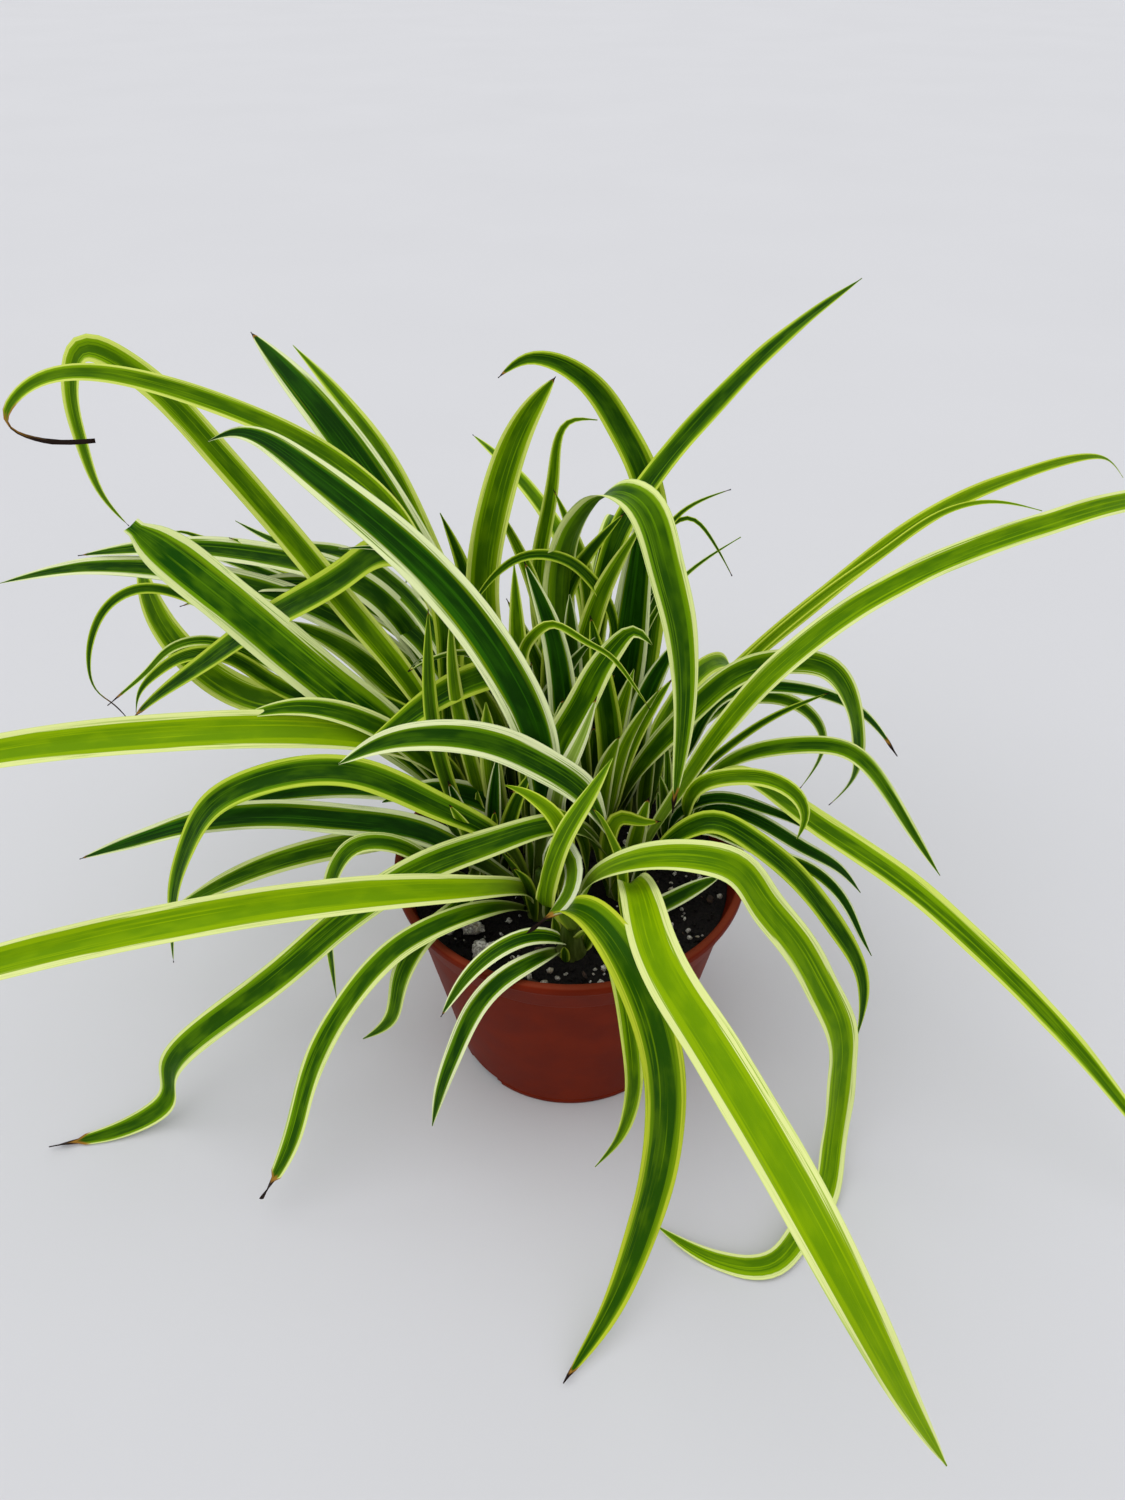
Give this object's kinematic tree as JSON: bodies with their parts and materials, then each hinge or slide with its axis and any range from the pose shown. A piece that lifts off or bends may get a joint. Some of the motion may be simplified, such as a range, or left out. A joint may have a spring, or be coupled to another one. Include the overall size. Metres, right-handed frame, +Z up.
{
  "type": "potted spider plant",
  "caption": "Variegated spider plant with long arching green and cream leaves growing from several crowns in a round terracotta-coloured nursery pot filled with potting soil.",
  "frame": {"origin": "centre of the underside of the pot's foot, on the surface the pot stands on", "axes": "+Z up along the pot's axis, -Y towards the front, where the broad near leaf reaches out, +X to the right"},
  "size_m": [0.6655, 0.4215, 0.3003],
  "materials": {
    "pot_plastic": "satin",
    "potting_soil": "matte",
    "pale_mineral": "matte",
    "crown_sheath": "satin",
    "leaf_blade": "satin"
  },
  "bodies": {
    "root": {"chunk_long": "pale_mineral", "chunk_round": "pale_mineral", "crown_back": "crown_sheath", "crown_back_left": "crown_sheath", "crown_back_right": "crown_sheath", "crown_centre": "crown_sheath", "crown_far_left": "crown_sheath", "crown_front": "crown_sheath", "crown_front_right": "crown_sheath", "crown_left": "crown_sheath", "crown_middle": "crown_sheath", "crown_right": "crown_sheath", "leaf_back_bent": "leaf_blade", "leaf_back_dark": "leaf_blade", "leaf_back_hidden": "leaf_blade", "leaf_back_left_broad": "leaf_blade", "leaf_back_left_crossing": "leaf_blade", "leaf_back_left_curved": "leaf_blade", "leaf_back_left_folded": "leaf_blade", "leaf_back_left_high": "leaf_blade", "leaf_back_left_long": "leaf_blade", "leaf_back_long": "leaf_blade", "leaf_back_right_far": "leaf_blade", "leaf_back_right_slim": "leaf_blade", "leaf_back_right_tall": "leaf_blade", "leaf_back_right_thin": "leaf_blade", "leaf_back_slim": "leaf_blade", "leaf_centre_crest": "leaf_blade", "leaf_centre_right": "leaf_blade", "leaf_far_left_high": "leaf_blade", "leaf_far_left_inner": "leaf_blade", "leaf_far_left_low": "leaf_blade", "leaf_far_left_rising": "leaf_blade", "leaf_far_left_tilted": "leaf_blade", "leaf_far_left_upright": "leaf_blade", "leaf_front_drop": "leaf_blade", "leaf_front_far_left": "leaf_blade", "leaf_front_hook": "leaf_blade", "leaf_front_inner_drop": "leaf_blade", "leaf_front_short": "leaf_blade", "leaf_left_dark": "leaf_blade", "leaf_left_hanging": "leaf_blade", "leaf_left_low": "leaf_blade", "leaf_left_rim": "leaf_blade", "leaf_left_short": "leaf_blade", "leaf_middle_arch": "leaf_blade", "leaf_middle_dark": "leaf_blade", "leaf_middle_floor": "leaf_blade", "leaf_middle_left_drop": "leaf_blade", "leaf_middle_upright": "leaf_blade", "leaf_near": "leaf_blade", "leaf_right_curl": "leaf_blade", "leaf_right_drop": "leaf_blade", "leaf_right_far": "leaf_blade", "leaf_right_floor": "leaf_blade", "leaf_right_low": "leaf_blade", "leaf_right_short": "leaf_blade", "leaf_right_slim": "leaf_blade", "pot": "pot_plastic", "soil": "potting_soil"}
  },
  "joints": []
}
